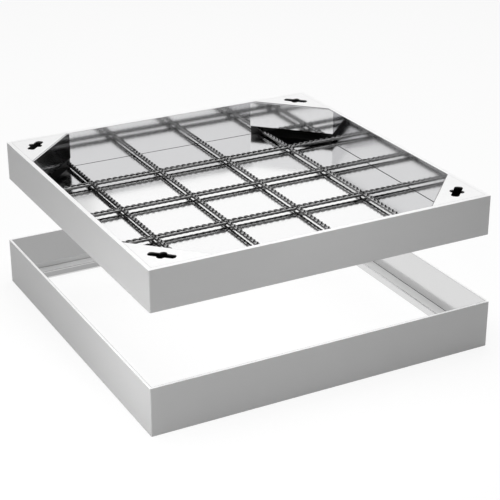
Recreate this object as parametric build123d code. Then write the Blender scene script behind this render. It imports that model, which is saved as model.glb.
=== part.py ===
"""Recessed paving cover of sheet steel, lifted clear of the square ground frame that it drops into.

The frame is four mitred walls with a seat angle along their foot. The cover is a tray for mortar
and paving: a floor plate, four mitred walls with a flat head turned in along the rim, a folded
corner plate with a lifting-key slot in each corner, and a one-level grid of reinforcing bars.

The origin is at the middle of the frame's underside, +X runs to the right along the front side,
+Y to the back and +Z up. All sizes are in millimetres.
"""

import os
from math import sqrt

from build123d import *

# Sheet and edges
SHEET = 2.0             # thickness of every sheet-steel piece
EDGE_RADIUS = 0.8       # radius of a dressed outer edge
HEAD_EDGE_RADIUS = 0.3  # radius of the inner edge of a head, fine enough to meet a corner plate
CREASE_RADIUS = 0.4     # inside radius of a fold
CORNER_RADIUS = 2.0     # dressed radius of an upright welded corner
SEAM_BREAK = 0.7        # bevel that leaves a thin seam line where a plate meets a wall

# Ground frame
FRAME_SIDE = 600.0      # outside, square
FRAME_HEIGHT = 80.0
FRAME_HEAD = 4.4        # width of the frame's top edge
SEAT_WIDTH = 20.5       # ledge under the cover, from the wall's inner face
SEAT_HEIGHT = 13.5      # top of the ledge above the ground

# Cover
COVER_GAP = 2.1         # running gap between the cover and the frame's head, each side
COVER_HEAD = 7.5        # width of the cover's rim
COVER_LIFT = 183.5      # how far the cover is held above its seat
FLOOR_SHEET = 2.0       # thickness of the floor plate

# Corner plates, measured from the cover's outer corner along the diagonal
CORNER_REACH = 82.0     # to the fold along the plate's long edge
FLANGE_DEPTH = 48.0     # folded flange below the rim
KEY_REACH = 54.0        # to the middle of the lifting-key slot
KEY_LENGTH = 43.0       # slot along the long edge
KEY_WIDTH = 13.5
KEY_CORNER = 5.0        # rounding of the slot's ends
KEY_CROSS_LENGTH = 24.0  # slot across it
KEY_CROSS_WIDTH = 12.0

# Reinforcing bars
BAR_DIAMETER = 7.5      # plain core of a bar
BAR_RIB_HEIGHT = 0.65   # lengthwise ribs, one down each side
BAR_RIB_WIDTH = 1.3
BAR_CENTRE_HEIGHT = 6.3  # bar axis above the floor plate
BAR_PITCH = 127.5
BAR_LINES = 4           # lines of bars each way
GRID_SHIFT_X = 7.5      # the welded grid sits a little off centre
GRID_SHIFT_Y = -9.0

# Sizes that follow
FOLD_RADIUS = SHEET + CREASE_RADIUS     # outside radius of a fold
COVER_SIDE = FRAME_SIDE - 2 * (FRAME_HEAD + COVER_GAP)
COVER_HEIGHT = FRAME_HEIGHT - SEAT_HEIGHT
COVER_BASE = SEAT_HEIGHT + COVER_LIFT
COVER_TOP = COVER_BASE + COVER_HEIGHT
COVER_INSIDE = COVER_SIDE - 2 * SHEET
BAR_AXIS = COVER_BASE + FLOOR_SHEET + BAR_CENTRE_HEIGHT

SIDES = ("front", "right", "back", "left")
CORNERS = ("front_left", "front_right", "back_right", "back_left")
QUARTER_TURN = 90.0


def near(face, *points):
    """Return the corners of a section face that lie at the given points."""
    return [face.vertices().sort_by_distance(point)[0] for point in points]


def mitred(section, side):
    """Run a section (inward, up) along the front side of a square and mitre both ends.

    Outside, the finished square is dressed to CORNER_RADIUS down its corners and to EDGE_RADIUS
    round its top.
    """
    half = side / 2
    run = extrude(Pos(-half, -half, 0) * (Plane.YZ * section), amount=side, dir=(1, 0, 0))
    height = run.bounding_box().max.Z
    sector = make_face(Polyline((-half, -half), (half, -half), (0, 0), close=True))
    block = extrude(RectangleRounded(side, side, CORNER_RADIUS), amount=height)
    dressed = fillet(block.faces().sort_by(Axis.Z)[-1].edges(), EDGE_RADIUS)
    return run & extrude(sector, amount=height) & dressed


def wall_section(height, head):
    """Section of a wall: an upright sheet with a flat head turned in along its top."""
    under = height - SHEET
    outline = Polyline(
        (0, 0), (SHEET, 0), (SHEET, under), (head, under), (head, height), (0, height), close=True
    )
    section = make_face(outline)
    section = fillet(near(section, (SHEET, under)), CREASE_RADIUS)
    return fillet(near(section, (head, height)), HEAD_EDGE_RADIUS)


def seat_section():
    """Section of a seat angle: a ledge from the wall's inner face, and its leg to the ground."""
    back, nose = SHEET, SHEET + SEAT_WIDTH
    under = SEAT_HEIGHT - SHEET
    outline = Polyline(
        (back, under), (nose - SHEET, under), (nose - SHEET, 0), (nose, 0),
        (nose, SEAT_HEIGHT), (back, SEAT_HEIGHT), close=True,
    )
    section = make_face(outline)
    section = fillet(near(section, (nose - SHEET, under)), CREASE_RADIUS)
    section = fillet(near(section, (nose, SEAT_HEIGHT)), FOLD_RADIUS)
    return chamfer(near(section, (back, SEAT_HEIGHT)), SEAM_BREAK)


def cover_floor():
    """Flat floor plate inside the cover's walls, its upper edges bevelled along the seam."""
    plate = Pos(0, 0, COVER_BASE) * extrude(Rectangle(COVER_INSIDE, COVER_INSIDE), amount=FLOOR_SHEET)
    return chamfer(plate.faces().sort_by(Axis.Z)[-1].edges(), SEAM_BREAK)


def wedge(setback, top, depth):
    """Corner wedge between two walls set back by the given width, from top down by depth.

    The outer corner of the cover is at the origin and +X runs inward along the diagonal.
    """
    apex = setback * sqrt(2)
    reach = 2 * CORNER_REACH
    plan = Polyline((apex, 0), (apex + reach, reach), (apex + reach, -reach), close=True)
    return Pos(0, 0, top - depth) * extrude(make_face(plan), amount=depth, dir=(0, 0, 1))


def key_slot():
    """Cross of two slots that takes the lifting key, centred on the origin."""
    along = RectangleRounded(KEY_WIDTH, KEY_LENGTH, KEY_CORNER)
    across = SlotOverall(KEY_CROSS_LENGTH, KEY_CROSS_WIDTH)
    return along + across


def corner_plate():
    """Folded corner plate in corner axes, its top face at z = 0.

    The top fills the corner between the heads of the rim. The flange hangs from its long edge,
    reaches under both heads to the walls clear of their creases, and stops short of the floor.
    """
    fold = CORNER_REACH
    outline = Polyline(
        (0, 0), (fold, 0), (fold, -FLANGE_DEPTH), (fold - SHEET, -FLANGE_DEPTH),
        (fold - SHEET, -SHEET), (0, -SHEET), close=True,
    )
    section = make_face(outline)
    section = fillet(near(section, (fold - SHEET, -SHEET)), CREASE_RADIUS)
    section = fillet(near(section, (fold, 0)), FOLD_RADIUS)
    folded = extrude(Plane.XZ * section, amount=2 * fold, both=True)
    relief = SHEET + CREASE_RADIUS
    room = wedge(COVER_HEAD, 0, relief) + wedge(SHEET, -relief, FLANGE_DEPTH)
    slot = extrude(Pos(KEY_REACH, 0, -SHEET) * key_slot(), amount=SHEET)
    return (folded & room) - slot


def bar(length):
    """Reinforcing bar along X, centred on the origin, with a lengthwise rib down each side."""
    ribs = Rectangle(BAR_DIAMETER + 2 * BAR_RIB_HEIGHT, BAR_RIB_WIDTH)
    section = Circle(BAR_DIAMETER / 2) + ribs
    return extrude(Plane.YZ * section, amount=length / 2, both=True)


def bar_lines(shift):
    """Distances of the bar lines from the cover's middle, one way of the grid."""
    first = shift - BAR_PITCH * (BAR_LINES - 1) / 2
    return [first + BAR_PITCH * line for line in range(BAR_LINES)]


def long_bars():
    """Bars that run through from the front wall to the back wall."""
    through = Rot(0, 0, QUARTER_TURN) * bar(COVER_INSIDE)
    return [Pos(x, 0, BAR_AXIS) * through for x in bar_lines(GRID_SHIFT_X)]


def cross_bars(crossed):
    """Rows of cut bars between the walls and the long bars, their ends coped to those bars."""
    whole = bar(COVER_INSIDE)
    rows = []
    for y in bar_lines(GRID_SHIFT_Y):
        row = Pos(0, y, BAR_AXIS) * whole
        for through in crossed:
            row = row - through
        rows.append(row.solids().sort_by(Axis.X))
    return rows


def build():
    """Return every piece of the frame and the cover by name."""
    pieces = {}
    frame_wall = mitred(wall_section(FRAME_HEIGHT, FRAME_HEAD), FRAME_SIDE)
    frame_seat = mitred(seat_section(), FRAME_SIDE)
    cover_wall = Pos(0, 0, COVER_BASE) * mitred(wall_section(COVER_HEIGHT, COVER_HEAD), COVER_SIDE)
    for index, side in enumerate(SIDES):
        turn = Rot(0, 0, QUARTER_TURN * index)
        pieces[f"frame_wall_{side}"] = turn * frame_wall
        pieces[f"frame_seat_{side}"] = turn * frame_seat
        pieces[f"cover_wall_{side}"] = turn * cover_wall

    pieces["cover_floor"] = cover_floor()
    corner = Pos(-COVER_SIDE / 2, -COVER_SIDE / 2, COVER_TOP) * Rot(0, 0, QUARTER_TURN / 2) * corner_plate()
    for index, name in enumerate(CORNERS):
        pieces[f"corner_plate_{name}"] = Rot(0, 0, QUARTER_TURN * index) * corner

    through = long_bars()
    for number, piece in enumerate(through, start=1):
        pieces[f"long_bar_{number}"] = piece
    for row, solids in enumerate(cross_bars(through), start=1):
        for place, piece in enumerate(solids, start=1):
            pieces[f"cross_bar_{row}_{place}"] = piece
    return pieces


os.makedirs("parts", exist_ok=True)
for node, shape in build().items():
    export_step(shape, f"parts/{node}.step")
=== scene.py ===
"""Looks of a recessed paving cover of sheet steel, held above the ground frame that it drops into.

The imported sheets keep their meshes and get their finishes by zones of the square. The plain
reinforcing bars give way to bars that also carry their slanting ribs. Lengths are in metres.
"""

import logging
import math
from dataclasses import dataclass
from enum import Enum

import bpy
import numpy as np
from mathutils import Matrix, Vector


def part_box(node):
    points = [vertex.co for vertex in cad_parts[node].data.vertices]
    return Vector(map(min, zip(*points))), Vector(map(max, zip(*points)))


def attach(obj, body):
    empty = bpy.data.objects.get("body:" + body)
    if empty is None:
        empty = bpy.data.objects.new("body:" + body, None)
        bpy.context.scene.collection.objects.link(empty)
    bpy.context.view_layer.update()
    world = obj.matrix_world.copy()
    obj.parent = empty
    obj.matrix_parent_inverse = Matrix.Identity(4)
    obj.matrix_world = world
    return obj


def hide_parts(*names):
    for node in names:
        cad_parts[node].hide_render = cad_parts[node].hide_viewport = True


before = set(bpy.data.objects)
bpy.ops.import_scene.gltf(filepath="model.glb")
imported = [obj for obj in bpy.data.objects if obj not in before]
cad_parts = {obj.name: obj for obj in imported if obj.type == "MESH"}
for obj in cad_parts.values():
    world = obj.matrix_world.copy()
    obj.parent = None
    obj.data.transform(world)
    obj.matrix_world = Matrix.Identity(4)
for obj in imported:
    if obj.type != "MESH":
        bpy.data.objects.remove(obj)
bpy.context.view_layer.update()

LOG = logging.getLogger("paving_cover")
MILLIMETRE = 0.001
# Mesh attribute of the bars' dark tone: partly mill scale, partly painted shade and painted reflection.
SCALE_AND_SHADE_ATTRIBUTE = "scale_and_painted_shade"
BLACK = (0.0, 0.0, 0.0, 1.0)
WHITE = (1.0, 1.0, 1.0, 1.0)

Point = tuple[float, float, float]
Source = bpy.types.NodeSocket | float | tuple[float, ...]


class Sheet(Enum):
    """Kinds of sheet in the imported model, by the start of their nodes' names."""

    FRAME_WALL = "frame_wall"
    FRAME_SEAT = "frame_seat"
    COVER_WALL = "cover_wall"
    COVER_FLOOR = "cover_floor"
    CORNER_PLATE = "corner_plate"


class Run(Enum):
    """Direction of a reinforcing bar: axis number along it, axis number across it, rib hand."""

    FRONT_TO_BACK = (1, 0, 1)
    LEFT_TO_RIGHT = (0, 1, -1)


class Socket(Enum):
    """Kinds of socket that a shared shader group has."""

    NUMBER = "NodeSocketFloat"
    COLOUR = "NodeSocketColor"


@dataclass(frozen=True)
class Tone:
    """One surface finish of bare steel."""

    colour: tuple[float, float, float]
    roughness: float
    metallic: float = 1.0


POLISHED_INSIDE = Tone((0.70, 0.70, 0.71), 0.10)
SATIN_INSIDE = Tone((0.74, 0.74, 0.74), 0.16)
# Painted shade: a dark, rough tone for the enclosed corner pockets behind the corner plates, where shade
# falls.
POCKET_PAINTED_SHADE = Tone((0.12, 0.12, 0.12), 0.5)
DARK_JOINT = Tone((0.05, 0.05, 0.05), 0.6)
SHEARED_EDGE = Tone((0.42, 0.42, 0.42), 0.35, 0.3)
DRESSED_EDGE = Tone((0.75, 0.75, 0.75), 0.35, 0.3)


class Graph:
    """Puts nodes and links into one node tree."""

    def __init__(self, tree: bpy.types.NodeTree) -> None:
        """Start on an existing tree.

        Args:
            tree: the node tree that takes the nodes.
        """
        self.tree = tree

    def node(self, kind: str, **settings: object) -> bpy.types.Node:
        """Add a node.

        Args:
            kind: Blender's name of the node type.
            settings: node properties to set.

        Returns:
            The new node.
        """
        made = self.tree.nodes.new(kind)
        for name, value in settings.items():
            setattr(made, name, value)
        return made

    def feed(self, socket: bpy.types.NodeSocket, source: Source) -> None:
        """Link a socket to an output, or set its value.

        Args:
            socket: the input socket.
            source: an output socket, a number or a tuple.
        """
        if isinstance(source, bpy.types.NodeSocket):
            self.tree.links.new(source, socket)
        else:
            socket.default_value = source

    def place(self) -> bpy.types.NodeSocket:
        """Object coordinates of the point that is shaded, in metres."""
        return self.node("ShaderNodeTexCoord").outputs["Object"]

    def maths(self, operation: str, *sources: Source) -> bpy.types.NodeSocket:
        """Work out one number.

        Args:
            operation: Blender's name of the operation.
            sources: up to three output sockets or numbers.

        Returns:
            The result's socket.
        """
        made = self.node("ShaderNodeMath", operation=operation)
        for socket, source in zip(made.inputs, sources):
            self.feed(socket, source)
        return made.outputs["Value"]

    def noise(self, vector: Source, scale: Source, detail: float) -> bpy.types.NodeSocket:
        """Sample a noise pattern.

        Args:
            vector: the coordinates' socket.
            scale: cells to a unit of the coordinates.
            detail: octaves of finer noise.

        Returns:
            The pattern's socket, about 0 to 1.
        """
        made = self.node("ShaderNodeTexNoise")
        self.feed(made.inputs["Vector"], vector)
        self.feed(made.inputs["Scale"], scale)
        self.feed(made.inputs["Detail"], detail)
        return made.outputs["Fac"]

    def stretched(self, vector: Source, level: Source, upright: Source) -> bpy.types.NodeSocket:
        """Stretch coordinates by one factor along x and y and by another along z.

        Args:
            vector: the coordinates' socket.
            level: factor along x and y.
            upright: factor along z.

        Returns:
            The stretched coordinates' socket.
        """
        factors = self.node("ShaderNodeCombineXYZ")
        for axis, factor in zip("XYZ", (level, level, upright)):
            self.feed(factors.inputs[axis], factor)
        made = self.node("ShaderNodeVectorMath", operation="MULTIPLY")
        self.feed(made.inputs[0], vector)
        self.feed(made.inputs[1], factors.outputs["Vector"])
        return made.outputs["Vector"]

    def blend(self, mask: Source, first: Source, second: Source, colours: bool) -> bpy.types.NodeSocket:
        """Change from one value to another where a mask says.

        Args:
            mask: 0 keeps the first, 1 gives the second.
            first: a socket, number or colour.
            second: a socket, number or colour.
            colours: True for colours, False for numbers.

        Returns:
            The blended value's socket.
        """
        made = self.node("ShaderNodeMix", data_type="RGBA" if colours else "FLOAT")
        sockets = [socket for socket in made.inputs if socket.enabled]
        for socket, source in zip(sockets, (mask, first, second)):
            self.feed(socket, source)
        return next(socket for socket in made.outputs if socket.enabled)


class SharedEffects:
    """The shader groups that the finishes share, each one built once."""

    line_detail: float = 3.0
    cloud_detail: float = 4.0

    def __init__(self) -> None:
        """Build every shared group."""
        self.zones = self._zones()
        self.brushing = self._brushing()
        self.clouding = self._clouding()

    @staticmethod
    def _group(
        name: str, inputs: dict[str, Socket], outputs: dict[str, Socket]
    ) -> tuple[Graph, bpy.types.NodeOutputs, bpy.types.NodeInputs]:
        """Start a group with named sockets.

        Args:
            name: the group's name.
            inputs: names and kinds of the inputs.
            outputs: names and kinds of the outputs.

        Returns:
            The group's graph, the sockets that its inputs come in by, and those that its outputs
            leave by.
        """
        tree = bpy.data.node_groups.new(name, "ShaderNodeTree")
        for way, sockets in (("INPUT", inputs), ("OUTPUT", outputs)):
            for socket, kind in sockets.items():
                tree.interface.new_socket(socket, in_out=way, socket_type=kind.value)
        graph = Graph(tree)
        return graph, graph.node("NodeGroupInput").outputs, graph.node("NodeGroupOutput").inputs

    def _zones(self) -> bpy.types.NodeTree:
        """Make the group that marks parts of a square round the origin.

        Beyond is 1 where max(|x|, |y|) passes Reach, Cornered is 1 where |x| + |y| passes
        Diagonal, and Above is 1 where z passes Level.

        Returns:
            The group.
        """
        limits = {"Reach": Socket.NUMBER, "Diagonal": Socket.NUMBER, "Level": Socket.NUMBER}
        masks = {"Beyond": Socket.NUMBER, "Cornered": Socket.NUMBER, "Above": Socket.NUMBER}
        graph, given, result = self._group("square_zones", limits, masks)
        parts = graph.node("ShaderNodeSeparateXYZ")
        graph.feed(parts.inputs[0], graph.place())
        across = graph.maths("ABSOLUTE", parts.outputs["X"])
        along = graph.maths("ABSOLUTE", parts.outputs["Y"])
        reach = graph.maths("MAXIMUM", across, along)
        diagonal = graph.maths("ADD", across, along)
        graph.feed(result["Beyond"], graph.maths("GREATER_THAN", reach, given["Reach"]))
        graph.feed(result["Cornered"], graph.maths("GREATER_THAN", diagonal, given["Diagonal"]))
        graph.feed(result["Above"], graph.maths("GREATER_THAN", parts.outputs["Z"], given["Level"]))
        return graph.tree

    def _brushing(self) -> bpy.types.NodeTree:
        """Make the group with the fine level lines of a brushed sheet.

        Lines is noise of Level Scale cells to the metre along the sheet and of Upright Scale
        cells up it, about 0 to 1.

        Returns:
            The group.
        """
        scales = {"Level Scale": Socket.NUMBER, "Upright Scale": Socket.NUMBER}
        graph, given, result = self._group("brushed_lines", scales, {"Lines": Socket.NUMBER})
        drawn = graph.stretched(graph.place(), given["Level Scale"], given["Upright Scale"])
        graph.feed(result["Lines"], graph.noise(drawn, 1.0, self.line_detail))
        return graph.tree

    def _clouding(self) -> bpy.types.NodeTree:
        """Make the group that darkens a colour in clouds, as wiping and polishing leave a sheet.

        The colour is multiplied by 1 - Depth * noise, with noise of Scale cells to the metre.

        Returns:
            The group.
        """
        inputs = {"Colour": Socket.COLOUR, "Scale": Socket.NUMBER, "Depth": Socket.NUMBER}
        graph, given, result = self._group("clouded_steel", inputs, {"Colour": Socket.COLOUR})
        cloud = graph.noise(graph.place(), given["Scale"], self.cloud_detail)
        keep = graph.maths("SUBTRACT", 1.0, graph.maths("MULTIPLY", cloud, given["Depth"]))
        made = graph.node("ShaderNodeVectorMath", operation="SCALE")
        graph.feed(made.inputs[0], given["Colour"])
        graph.feed(made.inputs["Scale"], keep)
        graph.feed(result["Colour"], made.outputs["Vector"])
        return graph.tree


class Finisher:
    """Starts a material and lays its finishes."""

    def __init__(self, effects: SharedEffects, name: str) -> None:
        """Start a material.

        Args:
            effects: the shared shader groups.
            name: the material's name.
        """
        self.effects = effects
        self.material = bpy.data.materials.new(name)
        self.material.use_nodes = True
        self.graph = Graph(self.material.node_tree)
        self.shader = self.material.node_tree.nodes["Principled BSDF"]

    def _effect(self, group: bpy.types.NodeTree, values: dict[str, Source]) -> bpy.types.NodeOutputs:
        """Put a shared group into the material.

        Args:
            group: the group.
            values: what its named inputs get here.

        Returns:
            The group's outputs.
        """
        made = self.graph.node("ShaderNodeGroup", node_tree=group)
        for name, value in values.items():
            self.graph.feed(made.inputs[name], value)
        return made.outputs

    def beyond(self, limit: float) -> bpy.types.NodeSocket:
        """Mask that is 1 further than limit metres from the square's middle."""
        return self._effect(self.effects.zones, {"Reach": limit})["Beyond"]

    def cornered(self, limit: float) -> bpy.types.NodeSocket:
        """Mask that is 1 in the corners, where |x| + |y| passes limit metres."""
        return self._effect(self.effects.zones, {"Diagonal": limit})["Cornered"]

    def above(self, limit: float) -> bpy.types.NodeSocket:
        """Mask that is 1 higher than limit metres."""
        return self._effect(self.effects.zones, {"Level": limit})["Above"]

    def both(self, first: Source, second: Source) -> bpy.types.NodeSocket:
        """Product of two masks, or of a mask and a pattern."""
        return self.graph.maths("MULTIPLY", first, second)

    def brushed(self, level_scale: float, upright_scale: float) -> bpy.types.NodeSocket:
        """Pattern of brushed lines with these cells to the metre along the sheet and up it."""
        scales = {"Level Scale": level_scale, "Upright Scale": upright_scale}
        return self._effect(self.effects.brushing, scales)["Lines"]

    def clouded(self, colour: Source, scale: float, depth: float) -> bpy.types.NodeSocket:
        """Darken a colour a little in clouds.

        Args:
            colour: the colour's socket.
            scale: clouds to the metre.
            depth: share of the colour that is lost at most.

        Returns:
            The clouded colour's socket.
        """
        values = {"Colour": colour, "Scale": scale, "Depth": depth}
        return self._effect(self.effects.clouding, values)["Colour"]

    def layer(self, base: Tone, *layers: tuple[Source, Tone]) -> tuple[Source, Source, Source]:
        """Lay finishes over each other.

        Args:
            base: the finish underneath.
            layers: masks with the finish that each one brings.

        Returns:
            Colour, roughness and metallic, each a socket.
        """
        colour, rough, metallic = (*base.colour, 1.0), base.roughness, base.metallic
        for mask, tone in layers:
            colour = self.graph.blend(mask, colour, (*tone.colour, 1.0), True)
            rough = self.graph.blend(mask, rough, tone.roughness, False)
            metallic = self.graph.blend(mask, metallic, tone.metallic, False)
        return colour, rough, metallic

    def bump(self, height: Source, depth: float) -> None:
        """Press a height pattern into the surface.

        Args:
            height: the pattern's socket.
            depth: metres from the pattern's 0 to its 1.
        """
        made = self.graph.node("ShaderNodeBump")
        self.graph.feed(made.inputs["Height"], height)
        self.graph.feed(made.inputs["Distance"], depth)
        self.graph.feed(self.shader.inputs["Normal"], made.outputs["Normal"])

    def finish(self, colour: Source, roughness: Source, metallic: Source) -> bpy.types.Material:
        """Set the surface and return the material.

        Args:
            colour: base colour, a socket or a value.
            roughness: a socket or a value.
            metallic: a socket or a value.

        Returns:
            The finished material.
        """
        self.graph.feed(self.shader.inputs["Base Color"], colour)
        self.graph.feed(self.shader.inputs["Roughness"], roughness)
        self.graph.feed(self.shader.inputs["Metallic"], metallic)
        return self.material


@dataclass(frozen=True)
class WallFinish:
    """Finish of a square of walls: painted shade as a darker satin outside, painted light as a bright rim,
    its own tone inside.

    The rim's inner edge is a thin darker line, where the head was sheared. Inside the corners, behind the
    corner plates, the walls carry painted shade up to just under the rim, where the rim's bright tone is
    laid over their top strip.
    """

    name: str
    half_side: float
    top: float
    head: float
    inside: Tone
    sheared: Tone
    pocket: float
    # Painted shade: the outer faces get a darker tone than the same steel has inside and on the rim.
    outside: Tone = Tone((0.41, 0.41, 0.41), 0.40, 0.3)
    # Painted light: the rim, the top of the same steel, gets a bright near-matt tone for the light that
    # falls on it.
    rim: Tone = Tone((0.95, 0.95, 0.95), 0.35, 0.2)
    sheared_width: float = 0.7 * MILLIMETRE
    outer_depth: float = 1.0 * MILLIMETRE
    skin: float = 0.05 * MILLIMETRE
    dressing: float = 0.4 * MILLIMETRE
    # Depth below the top where the painted pocket shade stops and the rim's tone takes over.
    pocket_shade_stop: float = 1.0 * MILLIMETRE
    smear_scale: float = 9.0
    smear_depth: float = 0.05
    line_level_scale: float = 6.0
    line_upright_scale: float = 900.0
    line_depth: float = 0.02 * MILLIMETRE

    def material(self, effects: SharedEffects) -> bpy.types.Material:
        """Build the material.

        Args:
            effects: the shared shader groups.

        Returns:
            The material.
        """
        work = Finisher(effects, self.name)
        outside = work.beyond(self.half_side - self.outer_depth)
        on_rim = work.beyond(self.half_side - self.head + self.sheared_width)
        in_pocket = work.cornered(self.pocket)
        colour, rough, metallic = work.layer(
            self.inside,
            # Painted shade inside the corner pockets, then the rim's bright tone on their top strip.
            (in_pocket, POCKET_PAINTED_SHADE),
            (work.both(in_pocket, work.above(self.top - self.pocket_shade_stop)), self.rim),
            # Painted shade on the outer faces, then after the sheared top, painted light on the rim.
            (outside, self.outside),
            (work.above(self.top - self.skin), self.sheared),
            (work.both(on_rim, work.above(self.top - self.dressing)), self.rim),
        )
        lines = work.brushed(self.line_level_scale, self.line_upright_scale)
        work.bump(work.both(lines, outside), self.line_depth)
        return work.finish(work.clouded(colour, self.smear_scale, self.smear_depth), rough, metallic)


@dataclass(frozen=True)
class SeatFinish:
    """Finish of the seat angles: a matt ledge, a satin leg and a dark joint along the wall."""

    name: str
    joint_reach: float
    top: float
    ledge: Tone = Tone((0.66, 0.66, 0.66), 0.35, 0.1)
    skin: float = 0.05 * MILLIMETRE
    smear_scale: float = 9.0
    smear_depth: float = 0.05

    def material(self, effects: SharedEffects) -> bpy.types.Material:
        """Build the material.

        Args:
            effects: the shared shader groups.

        Returns:
            The material.
        """
        work = Finisher(effects, self.name)
        colour, rough, metallic = work.layer(
            SATIN_INSIDE,
            (work.above(self.top - self.skin), self.ledge),
            (work.beyond(self.joint_reach), DARK_JOINT),
        )
        return work.finish(work.clouded(colour, self.smear_scale, self.smear_depth), rough, metallic)


@dataclass(frozen=True)
class TrayFinish:
    """Finish of the cover's floor: polished, with painted shade in the corner pockets, dark along the walls.

    The painted pocket shade is on the upper side only.
    """

    name: str
    joint_reach: float
    pocket: float
    top: float
    surface: Tone = Tone((0.99, 0.99, 0.99), 0.13)
    upper_side: float = 1.0 * MILLIMETRE
    haze_scale: float = 140.0
    haze_depth: float = 0.03

    def material(self, effects: SharedEffects) -> bpy.types.Material:
        """Build the material.

        Args:
            effects: the shared shader groups.

        Returns:
            The material.
        """
        work = Finisher(effects, self.name)
        on_top = work.above(self.top - self.upper_side)
        colour, rough, metallic = work.layer(
            self.surface,
            (work.beyond(self.joint_reach), DARK_JOINT),
            # Painted shade on the floor's upper side inside the corner pockets.
            (work.both(work.cornered(self.pocket), on_top), POCKET_PAINTED_SHADE),
        )
        return work.finish(work.clouded(colour, self.haze_scale, self.haze_depth), rough, metallic)


@dataclass(frozen=True)
class CornerFinish:
    """Finish of the corner plates: painted light as a bright top, polished on the flange, painted shade in
    the pocket.

    The key slot's cut edge, which is as deep as the plate, has a tone of its own.
    """

    name: str
    top: float
    pocket: float
    # Painted light: the top of the folded plate gets a bright near-matt tone for the light that falls on it.
    plate: Tone = Tone((0.95, 0.95, 0.95), 0.35, 0.2)
    flange: Tone = Tone((0.76, 0.76, 0.77), 0.10)
    slot_edge: Tone = Tone((0.35, 0.35, 0.35), 0.35, 0.6)
    skin: float = 0.05 * MILLIMETRE
    plate_depth: float = 2.05 * MILLIMETRE
    haze_scale: float = 140.0
    haze_depth: float = 0.08

    def material(self, effects: SharedEffects) -> bpy.types.Material:
        """Build the material.

        Args:
            effects: the shared shader groups.

        Returns:
            The material.
        """
        work = Finisher(effects, self.name)
        in_pocket = work.cornered(self.pocket)
        colour, rough, metallic = work.layer(
            self.flange,
            # Painted shade in the enclosed pocket behind the flange.
            (in_pocket, POCKET_PAINTED_SHADE),
            (work.both(in_pocket, work.above(self.top - self.plate_depth)), self.slot_edge),
            (work.above(self.top - self.skin), self.plate),
        )
        return work.finish(work.clouded(colour, self.haze_scale, self.haze_depth), rough, metallic)


@dataclass(frozen=True)
class BarFinish:
    """Finish of the reinforcing bars: bright cores, with a dark tone on the ribs that is partly mill scale
    and partly painted shade and painted reflection.

    The bars' meshes carry the depth of this dark tone as an attribute, which counts as dark past its edge
    value.
    """

    name: str
    core: Tone = Tone((0.55, 0.55, 0.55), 0.05)
    # Dark tone of mill scale, also used as painted shade under the bars and painted reflection along their
    # ribs.
    scale: Tone = Tone((0.012, 0.012, 0.012), 0.5, 0.9)
    scale_and_shade_edge: float = 0.4
    haze_scale: float = 140.0
    haze_depth: float = 0.2

    def material(self, effects: SharedEffects) -> bpy.types.Material:
        """Build the material.

        Args:
            effects: the shared shader groups.

        Returns:
            The material.
        """
        work = Finisher(effects, self.name)
        depth = work.graph.node("ShaderNodeAttribute", attribute_name=SCALE_AND_SHADE_ATTRIBUTE).outputs["Fac"]
        # Mask of the dark tone: mill scale with painted shade and painted reflection.
        scaled_and_shaded = work.graph.maths("GREATER_THAN", depth, self.scale_and_shade_edge)
        colour, rough, metallic = work.layer(self.core, (scaled_and_shaded, self.scale))
        return work.finish(work.clouded(colour, self.haze_scale, self.haze_depth), rough, metallic)


def dress_sheets(sheet: Sheet, material: bpy.types.Material) -> None:
    """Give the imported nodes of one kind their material.

    Args:
        sheet: the kind of sheet.
        material: its material.
    """
    for name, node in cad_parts.items():
        if name.startswith(sheet.value):
            node.data.materials.clear()
            node.data.materials.append(material)
            LOG.info("dressed %s", name)


@dataclass
class GroundFrame:
    """The frame that is set in the ground: four walls, with a seat along their foot."""

    sheet: float = 2.0 * MILLIMETRE
    head: float = 4.4 * MILLIMETRE
    joint_width: float = 0.65 * MILLIMETRE

    def dress(self, effects: SharedEffects) -> None:
        """Give the walls and the seat their finishes.

        |x| + |y| never passes the frame's whole side, so that limit leaves the walls without painted pocket shade in their corners.

        Args:
            effects: the shared shader groups.
        """
        low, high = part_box("frame_wall_front")
        half, top = -low[1], high[2]
        no_pocket = 2 * half
        seat_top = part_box("frame_seat_front")[1][2]
        walls = WallFinish("frame_wall_steel", half, top, self.head, SATIN_INSIDE, SHEARED_EDGE, no_pocket)
        seat = SeatFinish("frame_seat_steel", half - self.sheet - self.joint_width, seat_top)
        dress_sheets(Sheet.FRAME_WALL, walls.material(effects))
        dress_sheets(Sheet.FRAME_SEAT, seat.material(effects))


@dataclass
class CoverTray:
    """The tray that takes the paving: four walls, a floor plate and four corner plates.

    A corner plate's flange stands flange_reach from the cover's outer corner, along the diagonal.
    """

    head: float = 7.5 * MILLIMETRE
    flange_reach: float = 81.0 * MILLIMETRE
    joint_width: float = 1.1 * MILLIMETRE

    def dress(self, effects: SharedEffects) -> None:
        """Give the walls, the floor and the corner plates their finishes.

        Args:
            effects: the shared shader groups.
        """
        low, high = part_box("cover_wall_front")
        half, top = -low[1], high[2]
        pocket = 2 * half - self.flange_reach * math.sqrt(2)
        floor_reach, _, floor_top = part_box("cover_floor")[1]
        walls = WallFinish("cover_wall_steel", half, top, self.head, POLISHED_INSIDE, DRESSED_EDGE, pocket)
        tray = TrayFinish("cover_floor_steel", floor_reach - self.joint_width, pocket, floor_top)
        corners = CornerFinish("corner_plate_steel", top, pocket)
        dress_sheets(Sheet.COVER_WALL, walls.material(effects))
        dress_sheets(Sheet.COVER_FLOOR, tray.material(effects))
        dress_sheets(Sheet.CORNER_PLATE, corners.material(effects))


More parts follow.
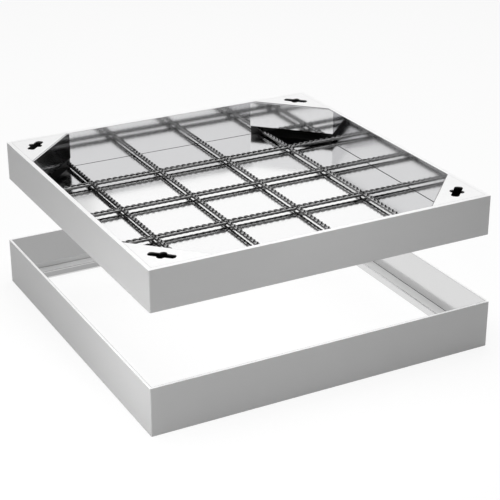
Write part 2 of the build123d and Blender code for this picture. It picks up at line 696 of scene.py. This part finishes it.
@dataclass
class ReinforcingBars:
    """Ribbed bars that stand for the plain ones: the same lines, with their slanting ribs.

    Angles are in degrees from the top of a bar. quarter holds those of the grid's lines over a
    quarter of the way round, closer together where the scale changes. rib_rings and rib_lift
    give a slanting rib's foot, crest, crest and foot, in widths along the bar and in heights.
    Two more tables give, by angle from the top, how much of the dark tone lies round the bar between the
    ribs: painted reflection along both feet of the lengthwise ribs and painted shade underneath.
    """

    core_radius: float = 3.65 * MILLIMETRE
    side_rib: float = 0.65 * MILLIMETRE
    rib_height: float = 1.0 * MILLIMETRE
    rib_end: float = 0.6
    under_share: float = 0.4
    rib_pitch: float = 10.85 * MILLIMETRE
    rib_width: float = 4.0 * MILLIMETRE
    rib_slant: float = 6.0 * MILLIMETRE
    rib_rings: tuple[float, ...] = (-0.5, -0.25, 0.25, 0.5)
    rib_lift: tuple[float, ...] = (0.0, 1.0, 1.0, 0.0)
    quarter: tuple[float, ...] = (0.0, 22.0, 42.0, 58.0, 68.0, 80.0)
    # Depth of the dark tone by angle from the top: painted reflection at the feet of the lengthwise ribs,
    # painted shade underneath.
    scale_and_shade_from_top: tuple[float, ...] = (68.0, 80.0, 90.0, 100.0, 112.0, 138.0, 158.0)
    scale_and_shade_round: tuple[float, ...] = (0.0, 1.0, 0.0, 1.0, 0.0, 0.0, 1.0)

    def build(self, effects: SharedEffects) -> None:
        """Make one ribbed bar for each plain one.

        Args:
            effects: the shared shader groups.
        """
        material = BarFinish("bar_steel").material(effects)
        for node in sorted(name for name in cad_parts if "_bar_" in name):
            LOG.info("made %s", self._bar(node, material).name)

    def _angles(self) -> np.ndarray:
        """Carry the grid's lines once round the bar, mirrored from quarter to quarter.

        Returns:
            The angles from the bar's top, in radians.
        """
        quarter = np.array(self.quarter)
        half = np.concatenate([quarter, [90.0], 180.0 - quarter[:0:-1]])
        return np.radians(np.concatenate([half, half + 180.0]))

    def _crescent(self, angle: np.ndarray) -> np.ndarray:
        """Share of a slanting rib's height round the bar.

        It is the root of (|cos a| - end) / (1 - end), and nothing where that is below zero.

        Args:
            angle: angles from the top of the bar.

        Returns:
            The share at each angle, 0 to 1.
        """
        return np.sqrt(np.clip((np.abs(np.cos(angle)) - self.rib_end) / (1 - self.rib_end), 0, 1))

    def _radius(self, angle: np.ndarray, lift: np.ndarray) -> np.ndarray:
        """Distance of the surface from the bar's axis.

        It is the core's radius plus the height of the slanting ribs, which are lower underneath.
        At the sides it is at least the core's radius plus the lengthwise rib.

        Args:
            angle: angles from the top of the bar.
            lift: share of the slanting rib's height at each ring.

        Returns:
            The radius, ring by ring.
        """
        height = self.rib_height * self._crescent(angle) * np.where(np.cos(angle) > 0, 1.0, self.under_share)
        radius = self.core_radius + lift[:, None] * height[None, :]
        on_side = np.isclose(np.cos(angle), 0)
        return np.maximum(radius, self.core_radius + self.side_rib * on_side[None, :])

    def _scale(self, angle: np.ndarray, lift: np.ndarray) -> np.ndarray:
        """Depth of the dark tone, partly mill scale and partly painted shade and painted reflection.

        It is deep on the slanting ribs and along both feet of the lengthwise ribs, as painted reflection of
        a dark overhead, and underneath, as painted shade.

        Args:
            angle: angles from the top of the bar.
            lift: share of the slanting rib's height at each ring.

        Returns:
            The depth, ring by ring, 0 to 1.
        """
        from_top = np.degrees(np.arccos(np.cos(angle)))
        round_bar = np.interp(from_top, self.scale_and_shade_from_top, self.scale_and_shade_round)
        return np.maximum(lift[:, None] * (self._crescent(angle) > 0)[None, :], round_bar[None, :])

    def _bar(self, node: str, material: bpy.types.Material) -> bpy.types.Object:
        """Make the ribbed bar that stands for one node.

        The bar is a tube r(u, a) round its axis, with u the distance along it and a the angle
        round it from its top. Slanting ribs repeat every pitch, each a flat crest between two
        straight flanks. Every ring of the grid is sheared along the bar by
        slant * arcsin(sin a) / 90 degrees, so the ribs follow its own lines, and is cut off
        square at the bar's ends.

        Args:
            node: name of the plain bar.
            material: the bars' material.

        Returns:
            The ribbed bar.
        """
        low, high = (np.array(corner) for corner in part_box(node))
        size = high - low
        run = Run.FRONT_TO_BACK if size[1] > size[0] else Run.LEFT_TO_RIGHT
        along, across, hand = run.value
        first = math.floor(low[along] / self.rib_pitch) - 1
        last = math.ceil(high[along] / self.rib_pitch) + 1
        centres = np.arange(first, last + 1) * self.rib_pitch
        offsets = np.array(self.rib_rings) * self.rib_width
        station = (centres[:, None] + offsets[None, :]).ravel()
        lift = np.tile(self.rib_lift, len(centres))
        angle = self._angles()
        shift = hand * self.rib_slant * np.arcsin(np.sin(angle)) / (np.pi / 2)
        radius = self._radius(angle, lift)
        middle = (low + high) / 2
        points = np.zeros((*radius.shape, 3))
        points[..., along] = np.clip(station[:, None] + shift[None, :], low[along], high[along])
        points[..., across] = middle[across] + radius * np.sin(angle)
        points[..., 2] = middle[2] + radius * np.cos(angle)
        return self._mesh(node, points, self._scale(angle, lift), run, material)

    def _mesh(
        self, node: str, points: np.ndarray, scale: np.ndarray, run: Run, material: bpy.types.Material
    ) -> bpy.types.Object:
        """Turn the grid of rings into a closed mesh.

        Args:
            node: name of the plain bar.
            points: ring by ring positions.
            scale: ring by ring depth of the dark tone, mill scale with painted shade and painted reflection.
            run: the bar's direction.
            material: the bars' material.

        Returns:
            The mesh object.
        """
        rings, around = points.shape[:2]
        ring = np.arange(rings - 1)[:, None] * around
        step = np.arange(around)[None, :]
        onward = (step + 1) % around
        quads = np.stack([ring + step, ring + onward, ring + around + onward, ring + around + step], axis=-1)
        quads = quads.reshape(-1, 4)
        if run is Run.LEFT_TO_RIGHT:
            quads = quads[:, ::-1]
        start, end = list(range(around)), list(range((rings - 1) * around, rings * around))
        ends = [start[::-1], end] if run is Run.FRONT_TO_BACK else [start, end[::-1]]
        mesh = bpy.data.meshes.new(f"ribbed_{node}")
        mesh.from_pydata(points.reshape(-1, 3).tolist(), [], quads.tolist() + ends)
        mesh.update()
        mesh.shade_smooth()
        mesh.materials.append(material)
        mask = mesh.attributes.new(SCALE_AND_SHADE_ATTRIBUTE, "FLOAT", "POINT")
        mask.data.foreach_set("value", scale.ravel().astype(np.float32))
        made = bpy.data.objects.new(f"ribbed_{node}", mesh)
        bpy.context.collection.objects.link(made)
        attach(made, "root")
        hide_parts(node)
        return made


@dataclass(frozen=True)
class Lamp:
    """One square softbox, its side in metres and its power in watts, that metal doesn't mirror."""

    name: str
    place: Point
    target: Point
    side: float
    power: float

    def hang(self) -> None:
        """Hang the softbox at its place, facing its target."""
        data = bpy.data.lights.new(self.name, "AREA")
        data.size = self.side
        data.energy = self.power
        lamp = bpy.data.objects.new(self.name, data)
        lamp.location = self.place
        lamp.rotation_mode = "QUATERNION"
        lamp.rotation_quaternion = (Vector(self.target) - Vector(self.place)).to_track_quat("-Z", "Y")
        lamp.visible_glossy = False
        lamp.visible_camera = False
        bpy.context.collection.objects.link(lamp)


@dataclass(frozen=True)
class Card:
    """One flat card that only metal mirrors, between two opposite corners.

    Its glow is how bright it looks, from 0, black, to 1, white.
    """

    name: str
    low: Point
    high: Point
    glow: float

    def _corners(self) -> list[Point]:
        """Find the card's corners, from the two axes along which its given corners differ.

        Returns:
            The four corners, in order round the card.
        """
        first, second = (axis for axis in range(3) if self.low[axis] != self.high[axis])
        beside, over = list(self.low), list(self.low)
        beside[first] = self.high[first]
        over[second] = self.high[second]
        return [self.low, tuple(beside), self.high, tuple(over)]

    def stand(self) -> None:
        """Stand the card in the studio."""
        mesh = bpy.data.meshes.new(self.name)
        mesh.from_pydata(self._corners(), [], [(0, 1, 2, 3)])
        card = bpy.data.objects.new(self.name, mesh)
        bpy.context.collection.objects.link(card)
        material = bpy.data.materials.new(self.name)
        material.use_nodes = True
        shader = material.node_tree.nodes["Principled BSDF"]
        shader.inputs["Base Color"].default_value = BLACK
        shader.inputs["Specular IOR Level"].default_value = 0.0
        shader.inputs["Emission Color"].default_value = WHITE
        shader.inputs["Emission Strength"].default_value = self.glow
        mesh.materials.append(material)
        card.visible_camera = False
        card.visible_diffuse = False
        card.visible_shadow = False


@dataclass
class Studio:
    """Floor, light and camera.

    Of the cards, the dark strip overhead lies where the bars across mirror it, clear of what the
    flat tray mirrors from the front and from above.
    """

    camera_place: Point = (-1.0194, -1.9506, 1.1115)
    camera_aim: Point = (0.4294, 0.8035, -0.4124)
    lens: float = 103.5
    world_light: float = 0.14
    world_seen: float = 1.0
    floor_side: float = 60.0
    floor_colour: tuple[float, float, float, float] = (0.9, 0.9, 0.9, 1.0)
    floor_glow: float = 0.85
    lamps: tuple[Lamp, ...] = (
        Lamp("overhead", (0.2, 0.6, 3.4), (0.0, 0.0, 0.0), 3.0, 112.0),
        Lamp("front_high", (-0.35, -0.75, 0.9), (-0.2, -0.25, 0.26), 0.3, 1.7),
        Lamp("front_mid", (0.0, -0.62, 0.40), (0.0, -0.29, 0.26), 0.2, 0.46),
        Lamp("left_edge", (-0.62, -0.33, 0.14), (-0.3, -0.24, 0.14), 0.15, 1.0),
        Lamp("left_upper", (-0.66, -0.24, 0.34), (-0.3, -0.16, 0.24), 0.15, 0.24),
        Lamp("left_mid", (-0.8, 0.0, 0.12), (-0.3, 0.0, 0.06), 0.25, 0.46),
        Lamp("under_cover", (0.0, 0.0, 0.19), (0.0, 0.0, 0.0), 0.56, 1.0),
    )
    cards: tuple[Card, ...] = (
        Card("overhead_card", (-16.5, -16.5, 12.4), (16.5, 16.5, 12.4), 0.32),
        Card("strip_card", (4.1, -16.5, 12.0), (12.0, 16.5, 12.0), 0.0),
        Card("right_card", (3.2, -2.6, 0.4), (3.2, -0.2, 2.8), 0.0),
        Card("back_card", (-0.6, 3.2, 0.5), (1.0, 3.2, 2.39), 0.7),
        # Painted shade: a grey card on the floor inside the frame, under the cover, that only the metal
        # mirrors, for the shade the cover casts there.
        Card("frame_floor_shade_card", (-0.275, 0.0, MILLIMETRE), (0.14, 0.275, MILLIMETRE), 0.5),
    )

    def build(self) -> None:
        """Set up the whole studio."""
        self._view()
        self._world()
        self._floor()
        for lamp in self.lamps:
            lamp.hang()
        for card in self.cards:
            card.stand()
        self._camera()

    @staticmethod
    def _view() -> None:
        """Show colours as they are written."""
        bpy.context.scene.view_settings.view_transform = "Standard"

    @staticmethod
    def _seen(graph: Graph) -> bpy.types.NodeSocket:
        """Mark what the camera sees directly, in metal or through glass.

        Args:
            graph: the graph that takes the nodes.

        Returns:
            A mask that is 1 for what is seen and 0 for what only lights the object.
        """
        path = graph.node("ShaderNodeLightPath").outputs
        mirrored = graph.maths("MAXIMUM", path["Is Glossy Ray"], path["Is Transmission Ray"])
        return graph.maths("MAXIMUM", path["Is Camera Ray"], mirrored)

    def _world(self) -> None:
        """White where it is seen, soft grey as a light."""
        world = bpy.data.worlds.new("studio")
        world.use_nodes = True
        bpy.context.scene.world = world
        graph = Graph(world.node_tree)
        strength = graph.blend(self._seen(graph), self.world_light, self.world_seen, False)
        background = world.node_tree.nodes["Background"]
        graph.feed(background.inputs["Color"], WHITE)
        graph.feed(background.inputs["Strength"], strength)

    def _floor(self) -> None:
        """Lay the pale floor, nearly white where it is seen and still shaded by the object."""
        half = self.floor_side / 2
        mesh = bpy.data.meshes.new("studio_floor")
        corners = [(-half, -half, 0), (half, -half, 0), (half, half, 0), (-half, half, 0)]
        mesh.from_pydata(corners, [], [(0, 1, 2, 3)])
        floor = bpy.data.objects.new("studio_floor", mesh)
        bpy.context.collection.objects.link(floor)
        material = bpy.data.materials.new("studio_floor")
        material.use_nodes = True
        graph = Graph(material.node_tree)
        shader = material.node_tree.nodes["Principled BSDF"]
        graph.feed(shader.inputs["Base Color"], self.floor_colour)
        graph.feed(shader.inputs["Roughness"], 1.0)
        graph.feed(shader.inputs["Specular IOR Level"], 0.0)
        glow = graph.node("ShaderNodeEmission")
        mix = graph.node("ShaderNodeMixShader")
        graph.feed(mix.inputs["Fac"], graph.maths("MULTIPLY", self._seen(graph), self.floor_glow))
        graph.feed(mix.inputs[1], shader.outputs["BSDF"])
        graph.feed(mix.inputs[2], glow.outputs["Emission"])
        out = material.node_tree.nodes["Material Output"]
        graph.feed(out.inputs["Surface"], mix.outputs["Shader"])
        mesh.materials.append(material)

    def _camera(self) -> None:
        """Stand the camera where the photograph was taken."""
        data = bpy.data.cameras.new("camera")
        data.lens = self.lens
        camera = bpy.data.objects.new("camera", data)
        camera.location = self.camera_place
        camera.rotation_mode = "QUATERNION"
        camera.rotation_quaternion = Vector(self.camera_aim).to_track_quat("-Z", "Y")
        bpy.context.collection.objects.link(camera)
        bpy.context.scene.camera = camera


def main() -> None:
    """Build every class in order."""
    logging.basicConfig(level=logging.INFO, format="%(message)s")
    effects = SharedEffects()
    GroundFrame().dress(effects)
    CoverTray().dress(effects)
    ReinforcingBars().build(effects)
    Studio().build()


if __name__ == "__main__":
    main()
